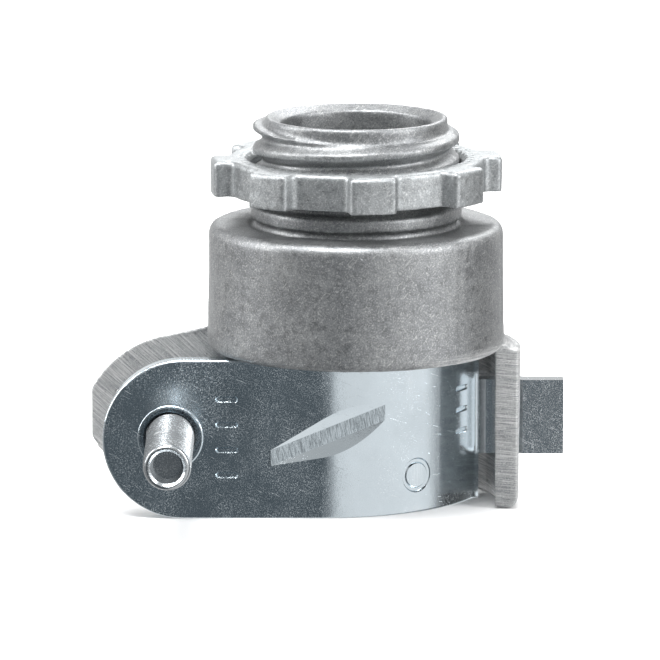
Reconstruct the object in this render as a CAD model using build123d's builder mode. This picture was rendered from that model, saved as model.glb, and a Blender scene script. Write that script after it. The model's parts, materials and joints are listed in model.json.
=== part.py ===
from build123d import *
import os
from math import cos, radians, sin

# Squeeze connector for half-inch trade size flexible metal conduit: a die-cast body with a
# threaded hub, a castellated locknut, a hooked clamp strap and the screw that draws it in.
#
# Frame: +Z runs along the hub axis and out of its mouth, -Y is the side that the strap
# closes, and the origin is on the hub axis in the plane of the collar's top shoulder.

# ---------------------------------------------------------------- driving dimensions (mm)
# Hub and collar, turned about Z
throat_radius = 7.65
throat_round = 0.5
rim_radius = 9.25
rim_round = 0.25
rim_bevel_radius = 8.95
rim_bevel_depth = 0.7
hub_height = 10.9
thread_crest_radius = 10.5
thread_root_radius = 9.5
thread_pitch = 2.25
thread_start = 0.81
thread_end = 11.2
thread_start_angle = 180
run_out_height = 9.85
run_out_rise_x = -0.045
run_out_rise_y = 0.055
thread_crest_half = 0.3
thread_base_half = 1.08
thread_buried = 0.2
neck_radius = 10.7
neck_top = 2.1
neck_chamfer = 0.3
relief_root_radius = 10.2
relief_radius = 11.0
relief_height = 0.6
relief_depth = 0.3
collar_radius = 15.1
collar_draft = 0.15
collar_depth = 12.75
shoulder_round = 1.0
collar_chamfer = 0.4
floor_thickness = 2.4
socket_radius = 12.9

# Saddle below the collar: round back wall, and a thicker slotted wall standing out on +X
saddle_bottom = -29.1
saddle_top = -11.6
saddle_radius = 14.9
saddle_inner_radius = 13.1
slot_wall_inner = 14.4
slot_wall_outer = 16.8
slot_wall_draft = 0.2
slot_wall_top = -11.3
slot_wall_cove_bottom = -12.8
slot_wall_sweep = 54
slot_wall_inner_round = 0.4
slot_wall_outer_round = 0.7
slot_pocket_sweep = 43
slot_front = 4.1
slot_back = 9.1
slot_start = 10.0
slot_height = 8.4

# Screw ear on -X: flat front in the parting plane, round rocker seat behind
ear_end = -27.65
ear_middle = -20.7
ear_end_half_height = 2.5
ear_half_height = 8.4
ear_shoulder = -19.5
ear_bend_x = -24.7
ear_bend_half_height = 6.0
ear_root_x = -14.0
ear_root_top = -11.0
ear_plate_thickness = 2.4
ear_web_depth = 4.2
ear_draft = 11.0
rocker_x = -20.5
rocker_radius = 5.85
screw_slot_half_height = 2.7
screw_slot_right = -16.3
screw_slot_left = -24.95
screw_slot_start = -1.0
screw_slot_depth = 6.5
screw_slot_lean = 0.1
screw_slot_flare = 0.625

# Clamp strap as it stands at rest, turned about Z by rest_angle from the parting plane.
# Its own places are given along the flat (to +X) and behind it (to +Y).
rest_angle = 10.0
strap_thickness = 1.9
strap_top = -12.95
strap_bottom = -29.3
strap_end = -25.7
strap_front = -7.24
strap_flat_end = -3.5
arch_radius = 16.35
arch_angle = 63.2
return_radius = 2.5
tongue_height = 7.7
tongue_middle = -20.8
tongue_line = 4.05
tongue_step = 0.3
tongue_step_start = 16.5
tongue_step_end = 17.3
tongue_tip = 21.3
strap_shoulder = 12.6
strap_shoulder_margin = 0.4
strap_edge_round = 0.25
hinge_along = 16.5

# Diagonal bead pressed into the strap, and the extruded hole for the screw
bead_length = 12.6
bead_floor_half = 0.75
bead_wall_slope = 2.0
bead_mouth_depth = 1.5
bead_angle = 21.0
bead_tilt = 6.0
bead_along = -2.75
bead_height = -20.75
bead_floor_depth = 0.62
bead_swell_top = 0.5
bead_swell_bottom = 1.6
bead_swell_half = 0.8
hole_lip_radius = 3.35
hole_lip_height = 0.3
hole_lip_round = 0.15
hole_funnel_depth = 0.55
extrusion_radius = 3.5
extrusion_length = 1.0
mark_length = 2.3
mark_width = 0.6
mark_depth = 0.18
mark_taper = 40
end_marks_offset = 5.7
end_mark_pitch = 2.6
end_mark_count = 4
arch_marks_angle = 56
arch_marks_height = -19.5
arch_mark_pitch = 2.2
arch_mark_count = 3
ring_mark_angle = 34
ring_mark_height = -25.4
ring_mark_radius = 1.8

# Clamp screw, No. 10-24 by 1-1/4 in, slotted hex washer head behind the ear
screw_along = -18.8
screw_height = -20.9
screw_radius = 2.413
screw_root_radius = 1.84
screw_pitch = 25.4 / 24
screw_crest_half = 0.08
screw_base_half = 0.5
screw_thread_buried = 0.15
screw_thread_start = 0.6
screw_length = 31.75
screw_seat_gap = 0.1
screw_clearance = 0.1
tip_collar_height = 0.7
tip_collar_radius = 2.3
tip_round = 0.35
cup_radius = 1.65
cup_depth = 1.5
cup_bevel = 0.25
washer_radius = 4.9
washer_thickness = 0.9
hex_across_flats = 7.94
head_height = 3.0
driver_slot_width = 1.2
driver_slot_depth = 1.3

# Locknut
nut_bottom = 3.2
nut_height = 3.6
nut_bore_radius = 10.65
nut_bore_chamfer = 0.6
nut_root_radius = 13.0
nut_lug_radius = 14.8
nut_lug_width = 4.7
nut_lug_count = 8
nut_first_lug = -73.3
nut_tooth_count = 60
nut_tooth_depth = 0.35
nut_tooth_reach = 1.3
nut_tooth_overrun = 0.01
nut_lug_round = 0.5
nut_root_round = 0.8
nut_edge_round = 0.45

# ---------------------------------------------------------------- worked-out places
collar_bottom = -collar_depth
strap_width = strap_top - strap_bottom
nut_top = nut_bottom + nut_height
strap_middle = (strap_top + strap_bottom) / 2
rest_cos = cos(radians(rest_angle))
rest_sin = sin(radians(rest_angle))


def from_strap(along, back):
    """Part-frame X and Y of a place given along and behind the strap's flat."""
    return along * rest_cos - back * rest_sin, along * rest_sin + back * rest_cos


hinge_x, hinge_y = from_strap(hinge_along, tongue_line)
along_strap = (rest_cos, rest_sin, 0)
behind_strap = (-rest_sin, rest_cos, 0)
ahead_of_strap = (rest_sin, -rest_cos, 0)

# The screw head bears on the rocker, so the head's place follows from the rocker's centre
rocker_behind = -rocker_x * rest_sin
seat_behind = rocker_behind + rocker_radius + screw_seat_gap


def arch_front(angle, height):
    """Plane that touches the front of the strap's arch at an angle round it."""
    radius = arch_radius + strap_thickness / 2
    along = strap_flat_end + radius * sin(radians(angle))
    back = strap_front + radius * (1 - cos(radians(angle)))
    turn = radians(rest_angle + angle)
    return Plane(
        (*from_strap(along, back), height),
        x_dir=(cos(turn), sin(turn), 0),
        z_dir=(-sin(turn), cos(turn), 0),
    )


def corner(x, y):
    """Vertex of the open sketch nearest to a place in its plane."""
    return vertices().sort_by_distance((x, y))[0]


# ---------------------------------------------------------------- body, hub thread ridge
with BuildPart() as hub_thread:
    with BuildLine() as thread_path:
        Helix(thread_pitch, thread_end - thread_start, thread_root_radius, center=(0, 0, thread_start))
    with BuildSketch(Plane(thread_path.line @ 0, x_dir=(1, 0, 0), z_dir=thread_path.line % 0)):
        with BuildLine():
            Polyline(
                (-thread_buried, -thread_base_half),
                (thread_crest_radius - thread_root_radius, -thread_crest_half),
                (thread_crest_radius - thread_root_radius, thread_crest_half),
                (-thread_buried, thread_base_half),
                close=True,
            )
        make_face()
    sweep(is_frenet=True)

# What comes off around the rim: all that stands outside it above a tilted plane
run_out_plane = Plane((0, 0, run_out_height), z_dir=(-run_out_rise_x, -run_out_rise_y, 1))
with BuildPart() as run_out:
    with BuildSketch(Plane.XY.offset(run_out_height - thread_pitch)):
        Circle(thread_crest_radius + 1)
        Circle(rim_radius, mode=Mode.SUBTRACT)
    extrude(amount=3 * thread_pitch)
    split(bisect_by=run_out_plane, keep=Keep.TOP)

# ---------------------------------------------------------------- body, screw ear
with BuildPart() as screw_ear:
    with BuildSketch(Plane.XZ):
        with BuildLine():
            ear_top = ear_middle + ear_half_height
            ear_bottom = ear_middle - ear_half_height
            Line((ear_root_x, ear_root_top), (ear_shoulder, ear_top))
            ThreePointArc(
                (ear_shoulder, ear_top),
                (ear_bend_x, ear_middle + ear_bend_half_height),
                (ear_end, ear_middle + ear_end_half_height),
            )
            Line((ear_end, ear_middle + ear_end_half_height), (ear_end, ear_middle - ear_end_half_height))
            ThreePointArc(
                (ear_end, ear_middle - ear_end_half_height),
                (ear_bend_x, ear_middle - ear_bend_half_height),
                (ear_shoulder, ear_bottom),
            )
            Line((ear_shoulder, ear_bottom), (ear_root_x, ear_bottom))
            Line((ear_root_x, ear_bottom), (ear_root_x, ear_root_top))
        make_face()
    extrude(amount=-rocker_radius - 1, taper=ear_draft)
    with BuildSketch(Plane.XY.offset(saddle_bottom - 1)):
        with Locations((rocker_x, 0)):
            Circle(rocker_radius)
        with Locations(((ear_end + ear_root_x) / 2, ear_plate_thickness / 2)):
            Rectangle(ear_root_x - ear_end, ear_plate_thickness)
        with Locations(((rocker_x + ear_root_x) / 2, ear_web_depth / 2)):
            Rectangle(ear_root_x - rocker_x, ear_web_depth)
    extrude(amount=-2 * saddle_bottom, mode=Mode.INTERSECT)


# Flared slot that lets the screw tilt with the strap
with BuildPart() as screw_slot:
    with BuildSketch(Plane.XY.offset(screw_height)):
        with BuildLine():
            Polyline(
                (screw_slot_right - screw_slot_lean * screw_slot_start, screw_slot_start),
                (screw_slot_right - screw_slot_lean * screw_slot_depth, screw_slot_depth),
                (screw_slot_left - screw_slot_flare * screw_slot_depth, screw_slot_depth),
                (screw_slot_left - screw_slot_flare * screw_slot_start, screw_slot_start),
                close=True,
            )
        make_face()
    extrude(amount=screw_slot_half_height, both=True)

# ---------------------------------------------------------------- body, slotted wall
with BuildPart() as slot_wall:
    with BuildSketch(Plane.XZ):
        with BuildLine():
            Polyline(
                (collar_radius - collar_draft, slot_wall_top),
                (slot_wall_inner, slot_wall_top),
                (slot_wall_inner, saddle_bottom),
                (slot_wall_outer - slot_wall_draft, saddle_bottom),
                (slot_wall_outer, slot_wall_cove_bottom),
            )
            # Cove that runs the wall's top up into the collar
            RadiusArc(
                (slot_wall_outer, slot_wall_cove_bottom),
                (collar_radius - collar_draft, slot_wall_top),
                slot_wall_outer - collar_radius + collar_draft,
            )
        make_face()
        fillet(corner(slot_wall_inner, saddle_bottom), slot_wall_inner_round)
        fillet(corner(slot_wall_outer - slot_wall_draft, saddle_bottom), slot_wall_outer_round)
    revolve(axis=Axis.Z, revolution_arc=slot_wall_sweep)

# ---------------------------------------------------------------- body casting
with BuildPart() as body:
    # Hub tube with its thread, longer than it ends up
    with BuildSketch(Plane.XZ):
        with Locations((throat_radius, -floor_thickness / 2)):
            Rectangle(
                thread_root_radius - throat_radius,
                thread_end + thread_pitch + floor_thickness,
                align=(Align.MIN, Align.MIN),
            )
    revolve(axis=Axis.Z)
    add(hub_thread.part, rotation=(0, 0, thread_start_angle))

    # The thread runs out below the rim, which is turned to a bevelled mouth
    add(run_out.part, mode=Mode.SUBTRACT)
    with BuildSketch(Plane.XZ):
        with BuildLine():
            Polyline(
                (throat_radius - 1, hub_height - rim_bevel_depth),
                (throat_radius, hub_height - rim_bevel_depth),
                (rim_bevel_radius, hub_height),
                (rim_radius - rim_round, hub_height),
                (rim_radius, hub_height - rim_round),
                (rim_radius, hub_height - rim_bevel_depth),
                (thread_crest_radius + 1, hub_height - rim_bevel_depth),
                (thread_crest_radius + 1, thread_end + 2 * thread_pitch),
                (throat_radius - 1, thread_end + 2 * thread_pitch),
                close=True,
            )
        make_face()
    revolve(axis=Axis.Z, mode=Mode.SUBTRACT)

    # Neck, collar and the floor that stops the conduit
    with BuildSketch(Plane.XZ):
        with BuildLine():
            Polyline(
                (throat_radius, neck_top),
                (neck_radius - neck_chamfer, neck_top),
                (neck_radius, neck_top - neck_chamfer),
                (neck_radius, relief_height),
                (relief_root_radius, relief_height),
                (relief_root_radius, -relief_depth),
                (relief_radius, -relief_depth),
                (relief_radius, 0),
                (collar_radius - collar_draft, 0),
                (collar_radius, collar_bottom),
                (socket_radius, collar_bottom),
                (socket_radius, -floor_thickness),
                (throat_radius, -floor_thickness),
                close=True,
            )
        make_face()
        fillet(corner(throat_radius, -floor_thickness), throat_round)
        fillet(corner(collar_radius, 0), shoulder_round)
        chamfer(corner(collar_radius, collar_bottom), collar_chamfer)
        chamfer(corner(socket_radius, collar_bottom), collar_chamfer)
    revolve(axis=Axis.Z)

    # Saddle walls, all behind the parting plane
    with BuildSketch(Plane.XY.offset(saddle_bottom)):
        Circle(saddle_radius)
        Rectangle(4 * saddle_radius, 2 * saddle_radius, align=(Align.CENTER, Align.MAX), mode=Mode.SUBTRACT)
    extrude(amount=saddle_top - saddle_bottom)
    add(screw_ear.part)
    add(slot_wall.part)

    # Room for the conduit, for the strap behind the slotted wall, and the collar's socket
    for radius, height, sweep_angle in (
        (saddle_inner_radius, collar_bottom, 180),
        (slot_wall_inner, collar_bottom, slot_pocket_sweep),
        (socket_radius, -floor_thickness, 360),
    ):
        with BuildSketch(Plane.XZ):
            with Locations((0, saddle_bottom - 1)):
                Rectangle(radius, height - saddle_bottom + 1, align=(Align.MIN, Align.MIN))
        revolve(axis=Axis.Z, revolution_arc=sweep_angle, mode=Mode.SUBTRACT)

    # Slot for the strap's tongue, and slot for the screw
    with BuildSketch(Plane.YZ.offset(slot_start)):
        with Locations((slot_front, tongue_middle)):
            Rectangle(slot_back - slot_front, slot_height, align=(Align.MIN, Align.CENTER))
    extrude(amount=slot_wall_outer - slot_start, mode=Mode.SUBTRACT)
    add(screw_slot.part, mode=Mode.SUBTRACT)
body.part.label = "connector_body"

# ---------------------------------------------------------------- locknut
with BuildPart() as locknut:
    with BuildSketch(Plane.XY.offset(nut_bottom)):
        with PolarLocations(0, nut_lug_count, start_angle=nut_first_lug):
            Rectangle(nut_lug_radius, nut_lug_width, align=(Align.MIN, Align.CENTER))
        Circle(nut_lug_radius, mode=Mode.INTERSECT)
        Circle(nut_root_radius)
    extrude(amount=nut_height)
    fillet(edges().filter_by(Axis.Z).group_by(SortBy.DISTANCE)[0], nut_root_round)
    fillet(edges().filter_by(Axis.Z).group_by(SortBy.DISTANCE)[-1], nut_lug_round)
    fillet(edges().group_by(Axis.Z)[-1], nut_edge_round)
    with BuildSketch(Plane.XY.offset(nut_bottom)):
        Circle(nut_bore_radius)
    extrude(amount=nut_height, mode=Mode.SUBTRACT)
    chamfer(edges().sort_by(SortBy.LENGTH)[-2:], nut_bore_chamfer)
    # Radial teeth around the top of the ring
    with BuildSketch(Plane.YZ.offset(nut_bore_radius)):
        with BuildLine():
            Polyline(
                (-nut_tooth_depth, nut_top + nut_tooth_overrun),
                (0, nut_top - nut_tooth_depth),
                (nut_tooth_depth, nut_top + nut_tooth_overrun),
                close=True,
            )
        make_face()
    gap = extrude(amount=nut_tooth_reach, mode=Mode.PRIVATE)
    with PolarLocations(0, nut_tooth_count):
        add(gap, mode=Mode.SUBTRACT)
locknut.part.label = "locknut"

# ---------------------------------------------------------------- clamp strap
strap_floor = Plane((0, 0, strap_bottom), x_dir=along_strap, z_dir=(0, 0, 1))
strap_front_plane = Plane((0, 0, 0), x_dir=along_strap, z_dir=ahead_of_strap)
hole_front = Plane(
    (*from_strap(screw_along, strap_front), screw_height),
    x_dir=along_strap,
    z_dir=behind_strap,
)
bead_run = cos(radians(bead_angle))
bead_turn = radians(rest_angle + bead_tilt)
bead_section = Plane(
    (*from_strap(bead_along, strap_front + bead_floor_depth), bead_height),
    x_dir=(sin(bead_turn), -cos(bead_turn), 0),
    z_dir=(bead_run * cos(bead_turn), bead_run * sin(bead_turn), sin(radians(bead_angle))),
)

with BuildPart() as clamp_strap:
    # Bent strip, seen from above
    with BuildSketch(strap_floor):
        with BuildLine():
            flat_line = strap_front + strap_thickness / 2
            flat = Line((strap_end, flat_line), (strap_flat_end, flat_line))
            arch = JernArc(flat @ 1, flat % 1, arch_radius, arch_angle)
            bend = JernArc(arch @ 1, arch % 1, return_radius, -arch_angle)
            tongue_start = bend @ 1
            Polyline(
                tongue_start,
                (tongue_step_start, tongue_start.Y),
                (tongue_step_end, tongue_start.Y - tongue_step),
                (tongue_tip, tongue_start.Y - tongue_step),
            )
        trace(line_width=strap_thickness)
    extrude(amount=strap_width)

    # Outline seen from the front: round end, square shoulders, narrow tongue
    with BuildSketch(strap_front_plane):
        with Locations((strap_end + strap_width / 2, strap_middle)):
            Circle(strap_width / 2)
            plate_length = strap_shoulder - strap_end - strap_width / 2
            Rectangle(plate_length, strap_width, align=(Align.MIN, Align.CENTER))
        with Locations((0, tongue_middle)):
            Rectangle(tongue_tip + 1, tongue_height, align=(Align.MIN, Align.CENTER))
    extrude(amount=2 * strap_width, both=True, mode=Mode.INTERSECT)
    # Rounded edges along the plate; the tongue keeps its sheared ones
    plate_edges = edges().filter_by(Axis.Z, reverse=True).filter_by(
        lambda edge: edge.center().dot(Vector(along_strap)) < strap_shoulder - strap_shoulder_margin
    )
    fillet(plate_edges, strap_edge_round)

    # Hole for the screw: raised lip and funnel in front, extruded rim behind
    with BuildSketch(hole_front):
        Circle(hole_lip_radius)
    extrude(amount=-hole_lip_height)
    fillet(edges().sort_by(Axis((0, 0, 0), ahead_of_strap))[-1], hole_lip_round)
    with BuildSketch(hole_front.offset(strap_thickness)):
        Circle(extrusion_radius)
    extrude(amount=extrusion_length)
    with BuildSketch(hole_front.offset(-1)):
        Circle(screw_radius + screw_clearance)
    extrude(amount=3 * strap_thickness, mode=Mode.SUBTRACT)
    funnel_edges = edges().filter_by(GeomType.CIRCLE).sort_by_distance(hole_front.offset(-1).origin)
    chamfer(funnel_edges[0], hole_funnel_depth)

    # Diagonal bead: a trough in front that runs out at both ends, and its swelling behind
    with BuildSketch(bead_section):
        with BuildLine():
            swell_base = bead_swell_half + bead_swell_bottom - bead_swell_top
            Polyline(
                (-bead_swell_top, -swell_base),
                (-bead_swell_bottom, -bead_swell_half),
                (-bead_swell_bottom, bead_swell_half),
                (-bead_swell_top, swell_base),
                close=True,
            )
        make_face()
    extrude(amount=bead_length / 2, both=True)
    with BuildSketch(bead_section):
        with BuildLine():
            mouth_half = bead_floor_half + bead_wall_slope * bead_mouth_depth
            Polyline(
                (0, -bead_floor_half),
                (bead_mouth_depth, -mouth_half),
                (bead_mouth_depth, mouth_half),
                (0, bead_floor_half),
                close=True,
            )
        make_face()
    extrude(amount=bead_length, both=True, mode=Mode.SUBTRACT)

    # Plain stamped bars beside the hole and round the arch, and a plain ring
    with BuildSketch(hole_front):
        with Locations((end_marks_offset, 0)):
            with GridLocations(0, end_mark_pitch, 1, end_mark_count):
                SlotOverall(mark_length, mark_width)
    with BuildSketch(arch_front(arch_marks_angle, arch_marks_height)):
        with GridLocations(0, arch_mark_pitch, 1, arch_mark_count):
            SlotOverall(mark_length, mark_width)
    with BuildSketch(arch_front(ring_mark_angle, ring_mark_height)):
        Circle(ring_mark_radius)
        Circle(ring_mark_radius - mark_width, mode=Mode.SUBTRACT)
    extrude(amount=mark_depth, taper=mark_taper, mode=Mode.SUBTRACT)
clamp_strap.part.label = "clamp_strap"

# ---------------------------------------------------------------- clamp screw, upright on its tip
with BuildPart() as screw_thread:
    with BuildLine() as screw_path:
        thread_length = screw_length - screw_thread_start
        Helix(screw_pitch, thread_length, screw_root_radius, center=(0, 0, screw_thread_start))
    with BuildSketch(Plane(screw_path.line @ 0, x_dir=(1, 0, 0), z_dir=screw_path.line % 0)):
        with BuildLine():
            Polyline(
                (-screw_thread_buried, -screw_base_half),
                (screw_radius - screw_root_radius, -screw_crest_half),
                (screw_radius - screw_root_radius, screw_crest_half),
                (-screw_thread_buried, screw_base_half),
                close=True,
            )
        make_face()
    sweep(is_frenet=True)

with BuildPart() as upright_screw:
    with BuildSketch():
        Circle(screw_root_radius)
    extrude(amount=screw_length + washer_thickness / 2)
    add(screw_thread.part)
    # Rolled collar round the tip
    with BuildSketch(Plane.XZ):
        Rectangle(tip_collar_radius, tip_collar_height, align=(Align.MIN, Align.MIN))
        fillet(corner(tip_collar_radius, 0), tip_round)
    revolve(axis=Axis.Z)
    # Washer and hexagon in one, with a driver slot
    with BuildSketch(Plane.XY.offset(screw_length)):
        Circle(washer_radius)
    extrude(amount=washer_thickness)
    with BuildSketch(Plane.XY.offset(screw_length)):
        RegularPolygon(hex_across_flats / 2, 6, major_radius=False)
    extrude(amount=head_height)
    with BuildSketch(Plane.XY.offset(screw_length + head_height)):
        Rectangle(2 * hex_across_flats, driver_slot_width)
    extrude(amount=-driver_slot_depth, mode=Mode.SUBTRACT)
    # Hollow cup in the tip
    with BuildSketch(Plane.XZ):
        with BuildLine():
            Polyline(
                (0, 0),
                (cup_radius + cup_bevel, 0),
                (cup_radius, cup_bevel),
                (cup_radius - cup_bevel, cup_depth),
                (0, cup_depth),
                close=True,
            )
        make_face()
    revolve(axis=Axis.Z, mode=Mode.SUBTRACT)

# The screw lies square to the strap's flat, its tip in front and its head behind the ear
screw_tip = Plane(
    (*from_strap(screw_along, seat_behind - screw_length), screw_height),
    x_dir=along_strap,
    z_dir=behind_strap,
)
with BuildPart() as clamp_screw:
    with Locations(screw_tip):
        add(upright_screw.part)
clamp_screw.part.label = "clamp_screw"

# ---------------------------------------------------------------- write the pieces
os.makedirs("parts", exist_ok=True)
for piece in (body, locknut, clamp_strap, clamp_screw):
    export_step(piece.part, f"parts/{piece.part.label}.step")
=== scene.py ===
import json
from math import cos, exp, hypot, radians, sin

import bpy
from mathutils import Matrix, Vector, noise


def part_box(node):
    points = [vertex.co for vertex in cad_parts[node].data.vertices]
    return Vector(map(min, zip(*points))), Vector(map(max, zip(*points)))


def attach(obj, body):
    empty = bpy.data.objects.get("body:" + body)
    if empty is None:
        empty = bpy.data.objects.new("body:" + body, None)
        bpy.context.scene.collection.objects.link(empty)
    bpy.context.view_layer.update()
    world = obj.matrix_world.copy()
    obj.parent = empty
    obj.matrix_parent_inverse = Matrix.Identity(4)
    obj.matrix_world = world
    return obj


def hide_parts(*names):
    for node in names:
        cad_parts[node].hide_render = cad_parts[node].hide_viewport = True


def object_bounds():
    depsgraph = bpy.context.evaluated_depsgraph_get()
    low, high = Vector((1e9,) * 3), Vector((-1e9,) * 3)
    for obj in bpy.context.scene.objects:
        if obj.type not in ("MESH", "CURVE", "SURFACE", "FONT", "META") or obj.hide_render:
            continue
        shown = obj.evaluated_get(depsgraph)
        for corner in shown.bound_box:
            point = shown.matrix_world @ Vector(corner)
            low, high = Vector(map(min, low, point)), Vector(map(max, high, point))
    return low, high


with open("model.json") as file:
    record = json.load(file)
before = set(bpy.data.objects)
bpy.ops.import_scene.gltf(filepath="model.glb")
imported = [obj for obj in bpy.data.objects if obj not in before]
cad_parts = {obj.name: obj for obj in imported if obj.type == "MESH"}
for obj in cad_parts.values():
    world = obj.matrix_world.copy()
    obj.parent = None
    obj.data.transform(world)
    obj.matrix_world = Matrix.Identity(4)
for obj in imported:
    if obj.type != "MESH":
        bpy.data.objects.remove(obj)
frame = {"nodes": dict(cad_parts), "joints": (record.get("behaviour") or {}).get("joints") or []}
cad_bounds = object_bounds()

# Squeeze connector for flexible metal conduit: two zinc castings, a plated strap and its screw.
# Lengths are in metres; MM turns millimetres into them.
MM = 0.001
UP = Vector((0, 0, 1))

# ---------------------------------------------------------------- places read from the frame
joints = {joint["name"]: joint for joint in frame["joints"]}
screw_axis = Vector(joints["screw_travel"]["axis"])
along_strap = Vector((screw_axis.y, -screw_axis.x, 0))
floor_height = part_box("clamp_strap")[0].z
middle = (cad_bounds[0] + cad_bounds[1]) / 2
collar_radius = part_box("connector_body")[1].y

# Floor of the slanted bead that is pressed into the strap's flat
STRAP_FLAT = -7.24 * MM
BEAD_ALONG = -2.75 * MM
BEAD_HEIGHT = -20.75 * MM
BEAD_DEPTH = 0.62 * MM
BEAD_HALF_WIDTH = 0.78 * MM
BEAD_FLOOR_REACH = 0.03 * MM
BEAD_TILT = radians(6)
BEAD_SLOPE = radians(21)
BEAD_DARK = (0.08, 0.1, 0.11)
bead_place = BEAD_ALONG * along_strap + (STRAP_FLAT + BEAD_DEPTH) * screw_axis + BEAD_HEIGHT * UP
bead_normal = cos(BEAD_TILT) * screw_axis - sin(BEAD_TILT) * along_strap
bead_across = cos(BEAD_SLOPE) * UP - sin(BEAD_SLOPE) * bead_normal.cross(UP)

# Sanded under the collar, on the ear to -X and on the slotted wall to +X: each pair is where
# the sanding starts and where it is full
SANDED_BELOW = (-11.5 * MM, -12.5 * MM)
EAR_BEYOND = (-13.0 * MM, -16.0 * MM)
WALL_BEYOND = (8.0 * MM, 11.0 * MM)

# ---------------------------------------------------------------- how the castings are skinned
FACE_LIMIT = 190_000
SMOOTH_STEPS = 3
SWELL_SIZE = 4.5 * MM
SWELL_HEIGHT = 0.05 * MM
PUCKER_SIZE = 0.9 * MM
PUCKER_HEIGHT = 0.022 * MM
PUCKER_OCTAVES = 3
FLASH_HEIGHT = 0.05 * MM
FLASH_HALF_WIDTH = 0.16 * MM
FLASH_INNER_SHARE = 0.6
FLASH_OUTER_SHARE = 1.06
FLASH_STEEPEST = 0.5

# ---------------------------------------------------------------- stage
FLOOR_SIZE = 8
SKY_STRENGTH = 0.8
DARK_WALL = (0.11, 0.13, 0.145)
# Walls round the part by share of a turn: 0.5 is the front, more is towards +X
WALL_LEVELS = [
    (0.0, 0.45), (0.05, 1.3), (0.13, 1.3), (0.18, 0.35), (0.28, 0.5), (0.40, 0.45),
    (0.46, DARK_WALL), (0.535, DARK_WALL), (0.56, 1.1), (0.74, 1.2),
    (0.79, 0.1), (0.87, 0.15), (0.91, 1.3), (0.95, 1.3), (1.0, 0.45),
]
# Sky, and its share over the walls, by height: 0.5 is the horizon and 1 straight up
SKY_LEVELS = [(0.5, 0.35), (0.75, 0.6), (1.0, 1.0)]
SKY_SHARE = [(0.52, 0.0), (0.75, 1.0)]
# Soft boxes: name, power, width and height, compass angle, elevation, distance
SOFT_BOXES = (
    ("key_top", 9, (0.6, 0.4), -20, 68, 0.9),
    ("back_top", 5, (0.8, 0.3), 170, 40, 0.9),
    ("side_right", 3, (0.25, 0.6), 75, 25, 0.7),
    ("side_left", 3, (0.25, 0.6), -80, 25, 0.7),
)

# ---------------------------------------------------------------- camera
CAMERA_LENS = 360
CAMERA_SENSOR = 36
CAMERA_CLIP = 0.01
CAMERA_DISTANCE = 0.673
CAMERA_ELEVATION = radians(10.75)
AIM_HEIGHT = -11.2 * MM
AIM_ALONG = -2.65 * MM


# ---------------------------------------------------------------- node helpers
class Nodes:
    """A node tree, with short calls that add nodes and join them."""

    def __init__(self, tree):
        self.tree = tree

    def add(self, kind):
        return self.tree.nodes.new(kind)

    def put(self, socket, value):
        """Sets a socket to a number or colour, or joins another node's output to it."""
        if hasattr(value, "is_output"):
            self.tree.links.new(value, socket)
        else:
            socket.default_value = value

    def math(self, operation, a, b=0.0):
        node = self.add("ShaderNodeMath")
        node.operation = operation
        self.put(node.inputs[0], a)
        self.put(node.inputs[1], b)
        return node.outputs[0]

    def ramp(self, fac, stops, easing="LINEAR"):
        """Ramp over fac; stops are (position, grey level or colour)."""
        node = self.add("ShaderNodeValToRGB")
        node.color_ramp.interpolation = easing
        elements = node.color_ramp.elements
        while len(elements) < len(stops):
            elements.new(0.5)
        for element, (position, level) in zip(elements, stops):
            element.position = position
            element.color = (*level, 1) if isinstance(level, tuple) else (level, level, level, 1)
        self.put(node.inputs["Fac"], fac)
        return node.outputs["Color"]

    def mix(self, fac, a, b, blend="MIX"):
        """Mix of colours a and b."""
        node = self.add("ShaderNodeMix")
        node.data_type = "RGBA"
        node.blend_type = blend
        for socket, value in zip((node.inputs[0], node.inputs[6], node.inputs[7]), (fac, a, b)):
            self.put(socket, (*value, 1) if isinstance(value, tuple) else value)
        return node.outputs[2]


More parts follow.
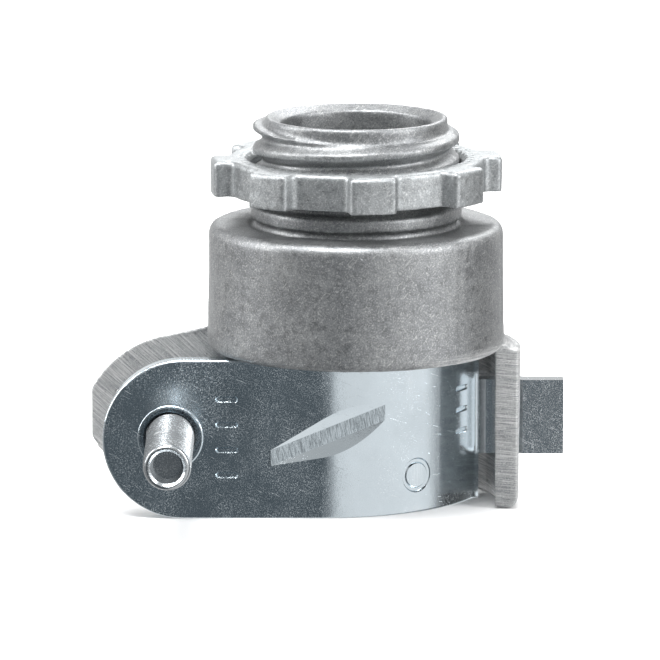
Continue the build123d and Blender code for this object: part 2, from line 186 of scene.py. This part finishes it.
class Shader(Nodes):
    """A material with one principled surface, patterned in the part's own coordinates."""

    def __init__(self, name):
        self.material = bpy.data.materials.new(name)
        self.material.use_nodes = True
        super().__init__(self.material.node_tree)
        self.tree.nodes.clear()
        self.surface = self.add("ShaderNodeBsdfPrincipled")
        output = self.add("ShaderNodeOutputMaterial")
        self.put(output.inputs["Surface"], self.surface.outputs[0])
        self.place = self.add("ShaderNodeTexCoord").outputs["Object"]

    def noise(self, size, detail, roughness=0.55, bend=0.0, place=None):
        """Cloudy noise whose blobs are about size across."""
        node = self.add("ShaderNodeTexNoise")
        self.put(node.inputs["Vector"], place or self.place)
        self.put(node.inputs["Scale"], 1 / size)
        self.put(node.inputs["Detail"], detail)
        self.put(node.inputs["Roughness"], roughness)
        self.put(node.inputs["Distortion"], bend)
        return node.outputs["Fac"]

    def hairlines(self, width, turn, reach=30.0, bend=0.3):
        """Thin lines of a width, reach times as long, turned by degrees in the XZ plane."""
        mapping = self.add("ShaderNodeMapping")
        mapping.vector_type = "TEXTURE"
        self.put(mapping.inputs["Vector"], self.place)
        self.put(mapping.inputs["Rotation"], (0, radians(turn), 0))
        self.put(mapping.inputs["Scale"], (reach, reach, 1))
        return self.noise(width, 2.0, 0.5, bend, mapping.outputs["Vector"])

    def flecks(self, size):
        """Small scattered spots, one to each cell of a size: 1 inside a spot and 0 outside."""
        node = self.add("ShaderNodeTexVoronoi")
        self.put(node.inputs["Vector"], self.place)
        self.put(node.inputs["Scale"], 1 / size)
        self.put(node.inputs["Randomness"], 1.0)
        return self.ramp(node.outputs["Distance"], [(0.03, 1.0), (0.08, 0.0)])

    def pointiness(self, stops):
        """Ramp over how convex the surface is: 0.5 on flats, more on edges, less in corners."""
        return self.ramp(self.add("ShaderNodeNewGeometry").outputs["Pointiness"], stops)

    def beyond(self, axis, start, end):
        """0 before start and 1 past end along an axis of the part."""
        split = self.add("ShaderNodeSeparateXYZ")
        self.put(split.inputs[0], self.place)
        node = self.add("ShaderNodeMapRange")
        self.put(node.inputs["Value"], split.outputs[axis])
        self.put(node.inputs["From Min"], start)
        self.put(node.inputs["From Max"], end)
        return node.outputs["Result"]

    def near_plane(self, point, normal, reach):
        """1 on the part of a surface within reach of a plane, given by a point and a normal."""
        dot = self.add("ShaderNodeVectorMath")
        dot.operation = "DOT_PRODUCT"
        self.put(dot.inputs[0], self.place)
        self.put(dot.inputs[1], normal)
        offset = self.math("SUBTRACT", dot.outputs["Value"], point.dot(normal))
        share = self.math("DIVIDE", self.math("ABSOLUTE", offset), reach)
        return self.ramp(share, [(0.9, 1.0), (1.0, 0.0)])

    def bump(self, height, distance, strength, normal=None):
        """Bumped normal, on top of another bump's normal where one is given."""
        node = self.add("ShaderNodeBump")
        self.put(node.inputs["Strength"], strength)
        self.put(node.inputs["Distance"], distance)
        self.put(node.inputs["Height"], height)
        if normal:
            self.put(node.inputs["Normal"], normal)
        return node.outputs["Normal"]


# ---------------------------------------------------------------- materials
def cast_zinc(name, dark, light, bright):
    """Die-cast zinc: even grey skin with fine grain, small nicks and pits, and painted shade in
    its corners.
    """
    shader = Shader(name)
    black = tuple(c * 0.3 for c in dark)
    clouds = shader.noise(5.0 * MM, 3.0)
    blotch = shader.noise(0.7 * MM, 5.0, 0.7)
    grain = shader.noise(0.16 * MM, 3.0, 0.7)
    scuffs = shader.ramp(shader.hairlines(0.12 * MM, -50, 8.0), [(0.66, 0.0), (0.72, 0.4)])
    base = shader.ramp(clouds, [(0.3, dark), (0.7, light)])
    base = shader.mix(shader.ramp(blotch, [(0.36, 0.3), (0.52, 0.0)]), base, black)
    base = shader.mix(shader.ramp(grain, [(0.36, 0.35), (0.5, 0.0)]), base, black)
    base = shader.mix(shader.ramp(grain, [(0.56, 0.0), (0.66, 0.5)]), base, bright)
    base = shader.mix(scuffs, base, bright)

    # The screw's ear is sanded in slanted lines, the slotted wall in level ones
    below = shader.beyond("Z", *SANDED_BELOW)
    ear = shader.math("MULTIPLY", below, shader.beyond("X", *EAR_BEYOND))
    wall = shader.math("MULTIPLY", below, shader.beyond("X", *WALL_BEYOND))
    slanted = shader.ramp(shader.hairlines(0.11 * MM, 40), [(0.4, 0.0), (0.66, 0.6)])
    level = shader.ramp(shader.hairlines(0.1 * MM, 3), [(0.4, 0.0), (0.68, 0.6)])
    base = shader.mix(shader.math("MULTIPLY", ear, slanted), base, bright)
    base = shader.mix(shader.math("MULTIPLY", wall, level), base, bright)
    sanded = shader.math("ADD", ear, wall)

    # Pits and nicks, and painted shade that darkens the corners and hollows
    base = shader.mix(shader.math("MULTIPLY", shader.flecks(1.4 * MM), 0.6), base, black)
    base = shader.mix(shader.math("MULTIPLY", shader.flecks(0.8 * MM), 0.7), base, bright)
    # Painted shade: concave corners and hollows, found by pointiness, are darkened towards black
    base = shader.mix(shader.pointiness([(0.4, 1.0), (0.47, 0.0)]), base, black)

    rough = shader.bump(grain, 0.02 * MM, 0.5)
    puckered = shader.bump(blotch, 0.05 * MM, 0.4, rough)
    inputs = shader.surface.inputs
    shader.put(inputs["Base Color"], base)
    shader.put(inputs["Metallic"], shader.ramp(sanded, [(0.0, 0.9), (1.0, 0.45)]))
    shader.put(inputs["Roughness"], shader.ramp(blotch, [(0.3, 0.4), (0.7, 0.56)]))
    shader.put(inputs["Normal"], puckered)
    return shader.material


def zinc_plate(name, base, fleck_and_edge_highlight_colour, roughness, speckle):
    """Bright zinc plate on steel: bluish mirror with tiny flecks, a few fine scratches and painted
    highlights on its edges.
    """
    shader = Shader(name)
    haze = shader.noise(5.0 * MM, 4.0)
    patches = shader.noise(3.0 * MM, 5.0, 0.6)
    dust = shader.noise(0.13 * MM, 2.0, 0.8)
    scratches = shader.hairlines(0.09 * MM, 25, 40.0, 1.2)
    grit = shader.mix(shader.ramp(patches, [(0.34, 0.25), (0.66, 1.0)]), (0.0, 0.0, 0.0),
                      shader.ramp(dust, [(0.52, 0.0), (0.72, speckle)]))
    scored = shader.ramp(scratches, [(0.71, 0.0), (0.75, speckle)])
    marks = shader.mix(1.0, grit, scored, "ADD")
    colour = shader.ramp(haze, [(0.3, tuple(c * 0.9 for c in base)), (0.7, base)])
    colour = shader.mix(marks, colour, fleck_and_edge_highlight_colour)
    # Painted highlight: convex edges, found by pointiness, are brightened to the same colour as
    # the flecks
    colour = shader.mix(shader.pointiness([(0.53, 0.0), (0.62, 1.0)]), colour, fleck_and_edge_highlight_colour)

    # The pressed floor of the strap's bead is rubbed dull, in upright lines
    on_floor = shader.near_plane(bead_place, bead_normal, BEAD_FLOOR_REACH)
    on_line = shader.near_plane(bead_place, bead_across, BEAD_HALF_WIDTH)
    rubbed = shader.math("MULTIPLY", on_floor, on_line)
    lines = shader.ramp(shader.hairlines(0.1 * MM, 80, 12.0), [(0.38, 0.32), (0.62, 0.85)])
    dull = shader.mix(lines, BEAD_DARK, base)
    colour = shader.mix(shader.math("MULTIPLY", rubbed, 0.9), colour, dull)

    pitted = shader.bump(marks, 0.02 * MM, 0.5)
    waved = shader.bump(haze, 0.12 * MM, 0.2, pitted)
    inputs = shader.surface.inputs
    inputs["Metallic"].default_value = 1.0
    shader.put(inputs["Base Color"], colour)
    shader.put(inputs["Roughness"], shader.ramp(marks, [(0.0, roughness), (0.6, roughness + 0.3)]))
    shader.put(inputs["Normal"], waved)
    return shader.material


def stage_white():
    """Matt white for the floor."""
    shader = Shader("stage_white")
    shader.surface.inputs["Base Color"].default_value = (0.93, 0.93, 0.93, 1)
    shader.surface.inputs["Roughness"].default_value = 0.95
    shader.surface.inputs["Specular IOR Level"].default_value = 0.0
    return shader.material


# ---------------------------------------------------------------- cast skins
def apply_modifier(piece, kind, **settings):
    """Runs one modifier on a mesh object and keeps its result."""
    modifier = piece.modifiers.new(kind.lower(), kind)
    for key, value in settings.items():
        setattr(modifier, key, value)
    evaluated = piece.evaluated_get(bpy.context.evaluated_depsgraph_get())
    mesh = bpy.data.meshes.new_from_object(evaluated)
    piece.modifiers.clear()
    piece.data = mesh


def flash(place, normal):
    """Height of the thin line the die halves leave where they meet, in the plane Y = 0."""
    outside = hypot(place.x, place.y) > collar_radius * FLASH_INNER_SHARE
    inside = abs(place.x) < collar_radius * FLASH_OUTER_SHARE
    if abs(normal.y) < FLASH_STEEPEST and outside and inside:
        return FLASH_HEIGHT * exp(-(place.y / FLASH_HALF_WIDTH) ** 2)
    return 0.0


def cast_skin(node, name, voxel, has_flash):
    """Stands in for a CAD casting: the same shape with softened edges and an uneven surface."""
    piece = bpy.data.objects.new(name, frame["nodes"][node].data.copy())
    bpy.context.scene.collection.objects.link(piece)
    apply_modifier(piece, "REMESH", mode="VOXEL", voxel_size=voxel)
    apply_modifier(piece, "SMOOTH", factor=0.5, iterations=SMOOTH_STEPS)
    normals = [vertex.normal.copy() for vertex in piece.data.vertices]
    for vertex, normal in zip(piece.data.vertices, normals):
        swell = noise.noise(vertex.co / SWELL_SIZE) * SWELL_HEIGHT
        pucker = noise.turbulence(vertex.co / PUCKER_SIZE, PUCKER_OCTAVES, False) * PUCKER_HEIGHT
        ridge = flash(vertex.co, normal) if has_flash else 0.0
        vertex.co += normal * (swell + pucker + ridge)
    triangles = 2 * len(piece.data.polygons)
    if triangles > FACE_LIMIT:
        apply_modifier(piece, "DECIMATE", ratio=FACE_LIMIT / triangles)
    for polygon in piece.data.polygons:
        polygon.use_smooth = True
    piece.data.materials.clear()
    return piece


# ---------------------------------------------------------------- stage, lights, camera
def add_object(name, data):
    thing = bpy.data.objects.new(name, data)
    bpy.context.scene.collection.objects.link(thing)
    return thing


def facing(direction):
    """Rotation that turns a light or camera to look along a direction."""
    return direction.to_track_quat("-Z", "Y").to_euler()


def add_soft_box(name, power, size, azimuth, elevation, distance):
    """Soft box that looks at the part from a compass angle: 0 is the front, positive to +X."""
    data = bpy.data.lights.new(name, "AREA")
    data.shape = "RECTANGLE"
    data.size, data.size_y = size
    data.energy = power
    light = add_object(name, data)
    a, e = radians(azimuth), radians(elevation)
    offset = Vector((sin(a) * cos(e), -cos(a) * cos(e), sin(e))) * distance
    light.location = middle + offset
    light.rotation_euler = facing(-offset)


def build_world():
    """Soft sky above walls in light and dark bands, which the plated steel mirrors."""
    world = bpy.data.worlds.new("studio")
    bpy.context.scene.world = world
    world.use_nodes = True
    nodes = Nodes(world.node_tree)
    split = nodes.add("ShaderNodeSeparateXYZ")
    nodes.put(split.inputs[0], nodes.add("ShaderNodeTexCoord").outputs["Generated"])
    ahead = nodes.math("MULTIPLY", split.outputs["Y"], -1.0)
    angle = nodes.math("ARCTAN2", split.outputs["X"], ahead)
    share = nodes.math("ADD", nodes.math("DIVIDE", angle, radians(360)), 0.5)
    height = nodes.math("ADD", nodes.math("MULTIPLY", split.outputs["Z"], 0.5), 0.5)
    walls = nodes.ramp(share, WALL_LEVELS, "EASE")
    sky = nodes.ramp(height, SKY_LEVELS, "EASE")
    above = nodes.ramp(height, SKY_SHARE, "EASE")
    background = world.node_tree.nodes["Background"]
    nodes.put(background.inputs["Color"], nodes.mix(above, walls, sky))
    background.inputs["Strength"].default_value = SKY_STRENGTH


def build_stage():
    bpy.ops.mesh.primitive_plane_add(size=FLOOR_SIZE, location=(0, 0, floor_height))
    floor = bpy.context.object
    floor.name = "floor"
    floor.data.materials.append(stage_white())
    floor.visible_glossy = False
    build_world()
    for soft_box in SOFT_BOXES:
        add_soft_box(*soft_box)


def build_camera():
    """Long lens a little above the part, square to the strap's flat."""
    data = bpy.data.cameras.new("camera")
    data.lens = CAMERA_LENS
    data.sensor_width = CAMERA_SENSOR
    data.clip_start = CAMERA_CLIP
    camera = add_object("camera", data)
    bpy.context.scene.camera = camera
    aim = AIM_HEIGHT * UP + AIM_ALONG * along_strap
    outward = -screw_axis * cos(CAMERA_ELEVATION) + sin(CAMERA_ELEVATION) * UP
    camera.location = aim + outward * CAMERA_DISTANCE
    camera.rotation_euler = facing(-outward)


# ---------------------------------------------------------------- the part
body_zinc = cast_zinc("cast_zinc_skin", (0.27, 0.28, 0.29), (0.37, 0.38, 0.385), (0.8, 0.8, 0.79))
nut_zinc = cast_zinc("locknut_skin", (0.38, 0.4, 0.41), (0.47, 0.49, 0.5), (0.88, 0.88, 0.87))
for node, name, body, slot, voxel, has_flash, material in (
    ("connector_body", "cast_body", "fitting_body", "cast_zinc", 0.2 * MM, True, body_zinc),
    ("locknut", "cast_locknut", "locknut", "cast_zinc_locknut", 0.14 * MM, False, nut_zinc),
):
    skin = cast_skin(node, name, voxel, has_flash)
    skin.data.materials.append(material)
    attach(skin, body)
    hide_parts(node)

strap_plate = zinc_plate("strap_plate", (0.68, 0.76, 0.81), (0.88, 0.93, 0.96), 0.13, 0.5)
screw_plate = zinc_plate("screw_plate", (0.5, 0.53, 0.55), (0.8, 0.83, 0.85), 0.22, 0.35)
for node, material in (("clamp_strap", strap_plate), ("clamp_screw", screw_plate)):
    frame["nodes"][node].data.materials[0] = material

build_camera()
build_stage()
bpy.context.scene.view_settings.view_transform = "Standard"
